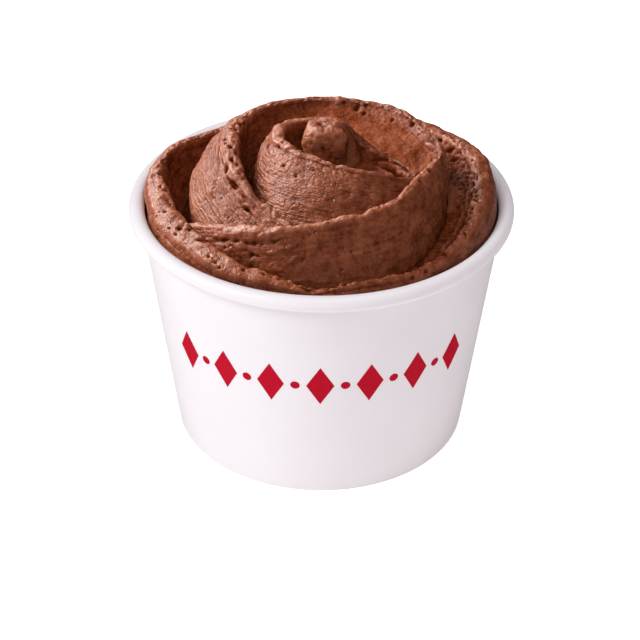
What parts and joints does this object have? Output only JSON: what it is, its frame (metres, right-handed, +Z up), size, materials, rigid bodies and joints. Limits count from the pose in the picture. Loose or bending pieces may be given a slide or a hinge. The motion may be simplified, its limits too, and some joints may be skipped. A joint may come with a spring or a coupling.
{
  "type": "gelato cup",
  "caption": "Tapered paper cup with a rolled brim, filled with chocolate gelato folded into a rose that stands above the brim.",
  "frame": {"origin": "on the table at the middle of the cup's foot", "axes": "+Z up; the front of the rose, where its lowest petals meet, faces -Y"},
  "size_m": [0.09, 0.09, 0.0791],
  "materials": {
    "side_paper": "white coated paper, satin, faint lilac cast",
    "base_paper": "white coated paper, matt",
    "gelato": "moist chocolate gelato, satin, with fine air pores and spatula streaks"
  },
  "bodies": {
    "root": {"cup_wall": "side_paper", "cup_base": "base_paper", "gelato": "gelato"}
  },
  "joints": []
}
